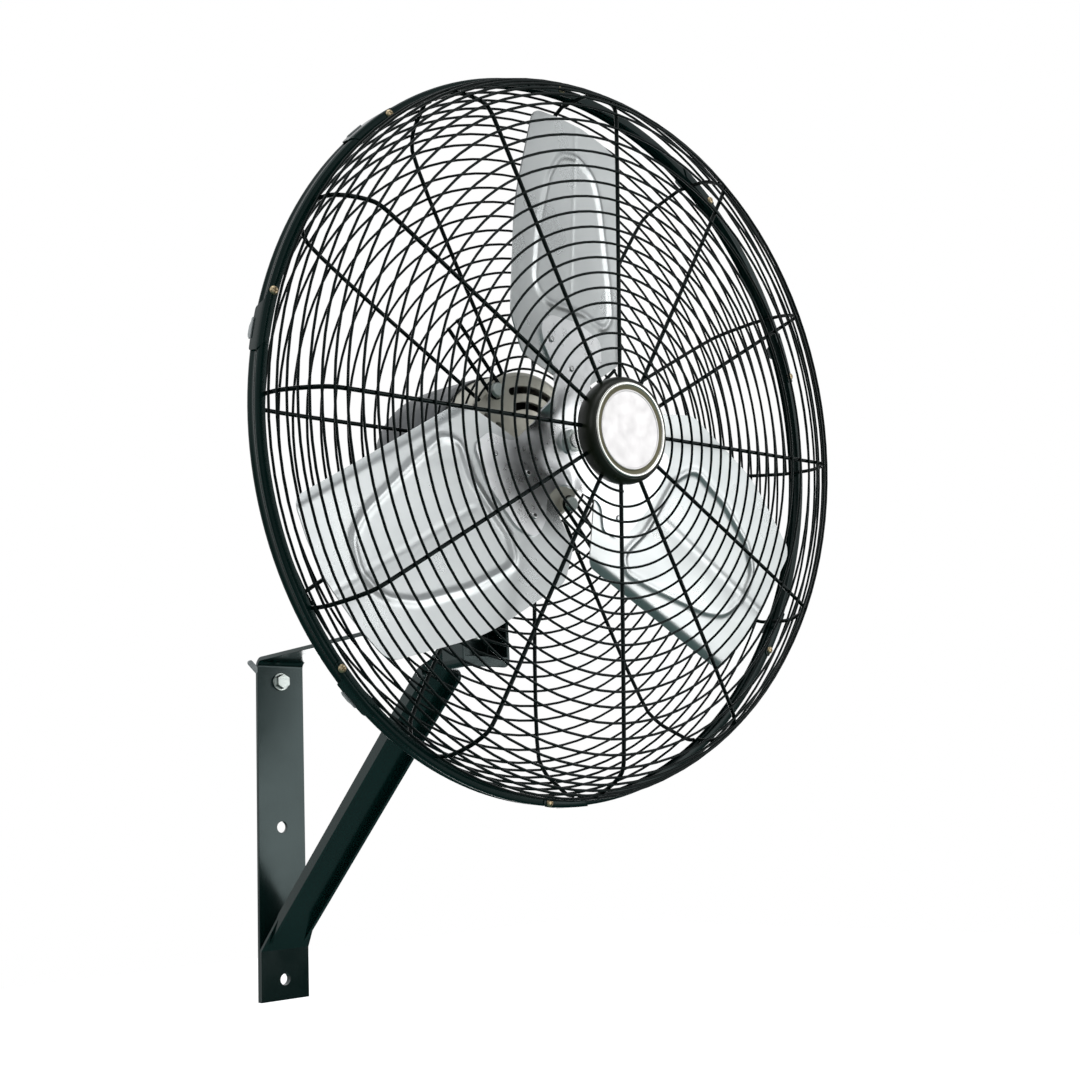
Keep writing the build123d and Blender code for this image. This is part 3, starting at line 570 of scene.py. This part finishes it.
# Outlines over the blade's sheet: reach from the axis, distance aside, and corner radius.
BLADE_OUTLINE = (
    (84, -58, 14), (170, -43.5, 300), (252, -30, 12), (254.5, 0, 60), (254, 30, 60), (247, 64, 60),
    (237, 96, 16), (155, 108, 160), (70, 98, 22), (46, 76, 16), (44, 30, 60), (46, -12, 14),
)
RIB = (
    (117, -37, 12), (145, -28, 60), (203, -5, 60), (222, 8, 20), (227, 32, 20), (219, 55, 22),
    (195, 67, 40), (150, 73, 60), (104, 71, 14), (97, 50, 20), (103, 20, 60), (106, 0, 30),
    (102, -30, 12),
)
RIB_HALF, RIB_RISE = 4.2, 1.5
CREASE = ((253, 38), (115, 20))
CREASE_HALF, CREASE_DROP = 2.2, 0.35
HEM = ((84, -58), (252, -30))
HEM_WIDTH, HEM_DROP, HEM_CURVE = 7.0, 3.4, 1.2


def over_blade(reach, aside, lift):
    """Point over the first blade's sheet, in the upright head before the blade's own turn."""
    share = (reach - ROOT_REACH) / (TIP_REACH - ROOT_REACH)
    lean = math.radians(ROOT_PITCH + (TIP_PITCH - ROOT_PITCH) * share)
    height = lift - CAMBER * (1 - ((aside - CAMBER_AT) / CAMBER_HALF) ** 2)
    return Vector((
        reach, aside * math.cos(lean) - height * math.sin(lean),
        BLADE_DEPTH + aside * math.sin(lean) + height * math.cos(lean),
    )) * MM


def rounded(corners, steps):
    """A closed outline from (x, y, corner radius) rows, its corners turned by arcs."""
    line = []
    for k, (x, y, radius) in enumerate(corners):
        here = Vector((x, y))
        to_before = Vector(corners[k - 1][:2]) - here
        to_after = Vector(corners[(k + 1) % len(corners)][:2]) - here
        one, two = to_before.normalized(), to_after.normalized()
        half = one.angle(two) / 2
        most = 0.49 * min(to_before.length, to_after.length)
        reach = min(radius / math.tan(half), most)
        bulge = reach * math.tan(half)
        middle = here + (one + two).normalized() * bulge / math.sin(half)
        start, end = here + one * reach - middle, here + two * reach - middle
        sweep = start.angle_signed(end)
        for step in range(steps + 1):
            line.append(middle + Matrix.Rotation(-sweep * step / steps, 2) @ start)
    return line


def turn_over(obj):
    """Turns a sheet's faces to its other side."""
    only(obj)
    bpy.ops.object.mode_set(mode="EDIT")
    bpy.ops.mesh.select_all(action="SELECT")
    bpy.ops.mesh.flip_normals()
    bpy.ops.object.mode_set(mode="OBJECT")


def gridded(name, outline, cell):
    """A flat face cut into a fine net along both directions, with its plan kept as its UV map."""
    mesh = bpy.data.meshes.new(name)
    mesh.from_pydata([(x * MM, y * MM, 0) for x, y in outline], [], [range(len(outline))])
    obj = bpy.data.objects.new(name, mesh)
    scene.collection.objects.link(obj)
    only(obj)
    bpy.ops.object.mode_set(mode="EDIT")
    for axis in (0, 1):
        normal = (1 - axis, axis, 0)
        low = min(point[axis] for point in outline)
        high = max(point[axis] for point in outline)
        for k in range(1, int((high - low) / cell) + 1):
            bpy.ops.mesh.select_all(action="SELECT")
            at = [v * (low + k * cell) * MM for v in normal]
            bpy.ops.mesh.bisect(plane_co=at, plane_no=normal, threshold=0.01 * MM)
    bpy.ops.mesh.select_all(action="SELECT")
    bpy.ops.mesh.normals_make_consistent(inside=False)
    bpy.ops.object.mode_set(mode="OBJECT")
    if obj.data.polygons[0].normal.z < 0:
        turn_over(obj)
    plan = obj.data.uv_layers.new(name="plan")
    for loop in obj.data.loops:
        plan.data[loop.index].uv = obj.data.vertices[loop.vertex_index].co.xy
    return obj


def from_line(x, y, points, closed=False):
    """Shortest distance from a point to a line of points, in mm."""
    best = math.inf
    nexts = points[1:] + points[:1] if closed else points[1:]
    for (x0, y0), (x1, y1) in zip(points, nexts):
        dx, dy = x1 - x0, y1 - y0
        share = max(0.0, min(1.0, ((x - x0) * dx + (y - y0) * dy) / (dx * dx + dy * dy)))
        best = min(best, math.hypot(x - x0 - share * dx, y - y0 - share * dy))
    return best


def bead(distance, half, rise):
    """Height of a rounded bead at a distance from its middle line."""
    return rise * math.cos(min(distance / half, 1.0) * math.pi / 2) ** 2


def ease(share):
    """Smooth step from 0 to 1."""
    share = max(0.0, min(1.0, share))
    return share * share * (3 - 2 * share)


def thicken(obj, thick):
    """Gives a front face its thickness toward the back."""
    only(obj)
    wall = obj.modifiers.new("sheet", "SOLIDIFY")
    wall.thickness = thick * MM
    wall.offset = -1
    bpy.ops.object.modifier_apply(modifier=wall.name)
    smooth(obj, 40)


def turned_copy(obj, name, angle):
    """A copy with its own mesh, turned round the head's axis and set on the head."""
    twin = bpy.data.objects.new(name, obj.data.copy())
    scene.collection.objects.link(twin)
    return placed(twin, HEAD_PLACE @ Matrix.Rotation(math.radians(angle), 4, "Z"))


# The sheet's rolling lines run along each blade, so its texture follows the blade's plan.
rolled_aluminium, shader = new_shader("rolled_aluminium_sheet", "#c6caca", Metallic=1.0)
tree = rolled_aluminium.node_tree
where = add_node(tree, "ShaderNodeTexCoord").outputs["Object"]
plan = add_node(tree, "ShaderNodeUVMap", uv_map="plan").outputs[0]
stretched = add_node(tree, "ShaderNodeMapping", {"Vector": plan, "Scale": (20, 900, 1)})
lines = add_node(tree, "ShaderNodeTexNoise", {
    "Vector": stretched.outputs[0], "Scale": 1.0, "Detail": 3.0})
relief(tree, shader, lines.outputs[0], 0.03, 0.2)
patchy_gloss(tree, shader, where, 45, 0.25, 0.36, detail=3.0)

rib_line = [tuple(point) for point in rounded(RIB, 4)]
blade = gridded("blade_sheet", rounded(BLADE_OUTLINE, 8), SHEET_CELL)
for vertex in blade.data.vertices:
    x, y = vertex.co.x / MM, vertex.co.y / MM
    lift = BLADE_THICK + bead(from_line(x, y, rib_line, closed=True), RIB_HALF, RIB_RISE)
    lift -= bead(from_line(x, y, CREASE), CREASE_HALF, CREASE_DROP)
    lift -= HEM_DROP * max(0.0, 1 - from_line(x, y, HEM) / HEM_WIDTH) ** HEM_CURVE
    vertex.co = over_blade(x, y, lift)
thicken(blade, BLADE_THICK)
blade_angles = [BLADE_ANGLE + 360 / BLADES * number for number in range(BLADES)]
for number, angle in enumerate(blade_angles, 1):
    settle(turned_copy(blade, f"pressed_blade_{number}", angle), rolled_aluminium,
           "fan", "blade_aluminium", f"blade_{number}")
bpy.data.objects.remove(blade)

# Spider: one stamping with a flat middle and three arms that twist to lie on the blades.
SPIDER_THICK = 2.0
SPIDER_DEPTH = -8.0
SPIDER_FLAT_R = 18
SPIDER_TWIST = 26
ARM_SECTOR = 360 / BLADES
ARM_MIDDLE = 12
ARM_BLEND = 22
SPIDER_ARM = (
    (30, -24, 8), (56, -15, 14), (74, -29, 8), (92, -24, 10), (95, 10, 60), (88, 46, 18),
    (76, 60, 9), (61, 50, 10), (48, 33, 14), (32, 28, 10),
)
polished_aluminium = finish("polished_aluminium_stamping", "#e9ebec", 1.0, (6, 0.06, 0.12),
                            (10, 0.25, 0.36))

corners = []
for angle in blade_angles:
    turn = Matrix.Rotation(math.radians(angle), 2)
    corners += [(*(turn @ Vector((x, y))), radius) for x, y, radius in SPIDER_ARM]
spider = gridded("stamped_spider", rounded(corners, 6), SHEET_CELL)
for vertex in spider.data.vertices:
    x, y = vertex.co.x / MM, vertex.co.y / MM
    angle = math.degrees(math.atan2(y, x))
    half = ARM_SECTOR / 2
    off = (angle - BLADE_ANGLE - ARM_MIDDLE + half) % ARM_SECTOR - half
    turn = Matrix.Rotation(math.radians(angle - off - ARM_MIDDLE), 3, "Z")
    reach, aside, _ = turn.inverted() @ Vector((x, y, 0))
    outward = (math.hypot(x, y) - SPIDER_FLAT_R) / SPIDER_TWIST
    share = ease(outward) * ease((half - abs(off)) / ARM_BLEND)
    on_arm = turn @ over_blade(reach, aside, BLADE_THICK + SPIDER_THICK)
    vertex.co = Vector((x, y, SPIDER_DEPTH)) * MM * (1 - share) + on_arm * share
thicken(spider, SPIDER_THICK)
settle(on_head(spider), polished_aluminium, "fan", "bright_aluminium", "blade_spider")

soften("blade_rivets", "dome_rivets", 0.5, ground_steel, "fan", "bright_aluminium")
soften("hub_nut", "shaft_nut", 0.6, zinc_plate, "fan", "zinc")
soften("hub_washer", "shaft_washer", 0.3, polished_aluminium, "fan", "zinc")
dress(ground_steel, "blade_hub")

# ======================================================================
# Front guard, centre and badge
# The front half is wound like the rear one. Its spokes end in a round moulded centre of black
# plastic, which holds a bright turned ring and a satin disc that is left bare.
# ======================================================================

FRONT_DEPTH = 49.8
FRONT_FACE = ((46.0, FRONT_DEPTH), (247.0, FRONT_DEPTH))
FRONT_WALL = (
    (247.0, FRONT_DEPTH), (254.5, 48.5), (261.0, 43.0), (267.8, 34.0), (272.8, 25.0),
    (276.5, 16.0), (277.8, 6.0), (277.3, -2.5),
)
FRONT_WALL_TURNS = 7 + 1 / CAD_TURN_STEPS
FRONT_SPOKES_FROM = (38.5, FRONT_DEPTH - SPOKE_BELOW + WELD)
settle(guard_wire("front_guard_wire", FRONT_FACE, FRONT_WALL[:-1], FRONT_WALL_TURNS), wire_coat,
       "head", "black_steel", "front_face_wire", "front_wall_wire")
settle(guard_spokes("front_guard_spokes", FRONT_SPOKES_FROM, FRONT_WALL), wire_coat,
       "head", "black_steel", "front_spokes")

black_plastic = finish("moulded_black_plastic", "#0d1208", 0.0, (0.9, 0.04, 0.3), (8, 0.26, 0.4),
                       Specular_IOR_Level=0.3)
turned_ring = finish("turned_bright_aluminium", "#d6d6d0", 1.0, (0.6, 0.02, 0.2),
                     (6, 0.14, 0.24))
# The groove between the turned ring and the disc is coloured a darker olive than either of them.
olive_groove = finish("darker_olive_groove", "#77745f", 0.9, (0.6, 0.02, 0.2), (6, 0.35, 0.5))
satin_disc = finish("satin_spun_aluminium", "#dad8d8", 0.9, (0.7, 0.02, 0.2), (9, 0.5, 0.62))

# Outlines of radius and depth. The badge sits on the flat face of the moulded centre.
SEAT = 57
PUCK = (
    (0, 40), (37, 40), (39, 42), (40.5, 46), (40.9, 51), (40.3, 55), (38.8, 58), (37.2, 59.2),
    (36.5, 59), (36.4, SEAT), (0, SEAT),
)
RING = (
    (33.5, SEAT), (33.5, 59), (34.1, 59.7), (35.2, 59.9), (36.1, 59.4), (36.4, 58.4),
    (36.4, SEAT), (33.5, SEAT),
)
GROOVE = ((30.4, SEAT), (30.4, 58.3), (31.4, 57.8), (33.5, 58.8), (33.5, SEAT), (30.4, SEAT))
DISC = ((0, 58.4), (28.9, 58.4), (29.2, 58.8), (29.9, 58.9), (30.4, 58.6), (30.4, SEAT), (0, SEAT))
settle(lathed("moulded_centre", PUCK, edge=0.4), black_plastic,
       "head", "black_plastic", "centre_puck")
settle(lathed("turned_badge_ring", RING, edge=0.2), turned_ring,
       "head", "bright_aluminium", "badge_ring")
settle(lathed("badge_ring_groove", GROOVE), olive_groove, "head", "bright_aluminium", "badge_ring")
settle(lathed("satin_badge_disc", DISC, edge=0.15), satin_disc,
       "head", "satin_aluminium", "badge_disc")

# ======================================================================
# Rim, clips and their screws
# A rolled steel channel, painted black, that clasps both guard halves. Eight sprung steel clips
# over it are each held by a small brass screw.
# ======================================================================

rim_coat = finish("gloss_black_rim_coat", "#021210", 0.0, (2.5, 0.03, 0.1), (30, 0.12, 0.26),
                  Specular_IOR_Level=0.16, Specular_Tint=COOL_GLOSS)

RIM_R = 282.5
RIM_FRONT = 1.2
LIP_R = 275.8
RIM = (
    (LIP_R, RIM_FRONT), (280.9, 1.3), (281.9, 0.9), (282.4, 0.0), (RIM_R, -1.0), (282.2, -2.0),
    (281.6, -2.8), (281.5, -7.4), (282.1, -8.3), (RIM_R, -9.3), (282.4, -10.6), (281.8, -11.6),
    (280.6, -12.1), (278.0, -12.0), (278.0, -11.0), (280.2, -11.0), (281.0, -9.8), (280.5, -7.6),
    (280.5, -2.6), (281.0, -1.0), (280.4, 0.1), (LIP_R, 0.1), (LIP_R, RIM_FRONT),
)
settle(lathed("rolled_rim", RIM, steps=192, angle=45), rim_coat, "head", "black_steel", "rim_band")

CLIP_ANGLES = (19, 56, 94, 131, 166.5, 220, 263.8, 325)
CLIP_THICK = 0.8
CLIP_CELL = 1.2
CLIP_FRONT = RIM_FRONT + 0.9
CLIP_SECTION = eased(((275.9, CLIP_FRONT), (283.0, CLIP_FRONT), (283.5, -1.0), (283.5, -10.5)))
CLIP_WIDTH = line_length(CLIP_SECTION)
# Plan of the flat clip: way round the rim, way over its section, and corner radius.
CLIP_PLAN = (
    (2, 0.2, 2.5), (40, 0.2, 3), (47, 6.5, 3), (49, 9, 2), (48, CLIP_WIDTH, 2),
    (18, CLIP_WIDTH, 2), (14, 8.2, 3), (2, 7.0, 2.5),
)


def round_the_rim(obj, name, turn=0.0):
    """One copy of a piece at every clip, joined, and set on the head."""
    twins = [turned_copy(obj, name, angle + turn) for angle in CLIP_ANGLES]
    bpy.ops.object.select_all(action="DESELECT")
    for twin in twins:
        twin.select_set(True)
    bpy.context.view_layer.objects.active = twins[0]
    bpy.ops.object.join()
    bpy.data.objects.remove(obj)
    return bpy.context.object


# Each clip is a saddle: a leaf on the rim's front lip, which the screw holds, is bent over the
# edge and lies on the outside of the rim.
clip = gridded("clip_strip", rounded(CLIP_PLAN, 4), CLIP_CELL)
for vertex in clip.data.vertices:
    x, y = vertex.co.x / MM, vertex.co.y / MM
    radius, depth = along(CLIP_SECTION, y / CLIP_WIDTH)
    vertex.co = polar(radius, math.degrees(x / RIM_R), depth)
turn_over(clip)
thicken(clip, CLIP_THICK)
settle(round_the_rim(clip, "sprung_clips"), rim_coat, "head", "black_steel", "rim_clips")

# A bare steel tongue on the back edge of each clip, which a thumb lifts.
TONGUE_PLAN = (
    (-7, -9.0, 0.5), (7, -9.0, 0.5), (7, -13.5, 2), (4.5, -17.5, 4), (-4.5, -17.5, 4),
    (-7, -13.5, 2),
)
TONGUE_CELL = 1.5
TONGUE_THICK = 1.0
TONGUE_R = 284.3
TONGUE_DIP, DIP_FROM, DIP_LENGTH = 2.2, -10, 7
TONGUE_TURN = 6.6
tongue = gridded("clip_tongue", rounded(TONGUE_PLAN, 5), TONGUE_CELL)
for vertex in tongue.data.vertices:
    x, y = vertex.co.x / MM, vertex.co.y / MM
    radius = TONGUE_R - TONGUE_DIP * ease((DIP_FROM - y) / DIP_LENGTH)
    vertex.co = polar(radius, math.degrees(x / RIM_R), y)
thicken(tongue, TONGUE_THICK)
settle(round_the_rim(tongue, "clip_ears", TONGUE_TURN), bare_steel,
       "head", "black_steel", "rim_clips")

brass = finish("yellow_brass", "#b9a888", 1.0, (0.6, 0.03, 0.3), (3, 0.28, 0.44))

SCREW_R = 3.1
SCREW_HEIGHT = 1.9
SCREW_SLOT = 0.8
SCREW_TURN = 1.5
SCREW_PLACE = polar(279.6, 0, RIM_FRONT + 0.85)
# A pan head's outline, in shares of its radius and height.
PAN_HEAD = ((0, 1), (0.45, 1), (0.75, 0.82), (0.96, 0.45), (1, 0), (0, 0))

screw = spun("clip_screw", [(r * SCREW_R, h * SCREW_HEIGHT) for r, h in PAN_HEAD], 28)
for turn in (0, 90):
    bpy.ops.object.select_all(action="DESELECT")
    bpy.ops.mesh.primitive_cube_add(size=1, location=(0, 0, SCREW_HEIGHT * MM),
                                    rotation=(0, 0, math.radians(turn)))
    cutter = bpy.context.object
    cutter.scale = (1.1 * SCREW_R * MM, SCREW_SLOT * MM, SCREW_HEIGHT * MM)
    only(screw)
    recess = screw.modifiers.new("cross_recess", "BOOLEAN")
    recess.operation = "DIFFERENCE"
    recess.object = cutter
    bpy.ops.object.modifier_apply(modifier=recess.name)
    bpy.data.objects.remove(cutter)
smooth(screw, 35)
placed(screw, Matrix.Translation(SCREW_PLACE))
settle(round_the_rim(screw, "small_brass_screws", SCREW_TURN), brass,
       "head", "brass_screws", "clip_screws")
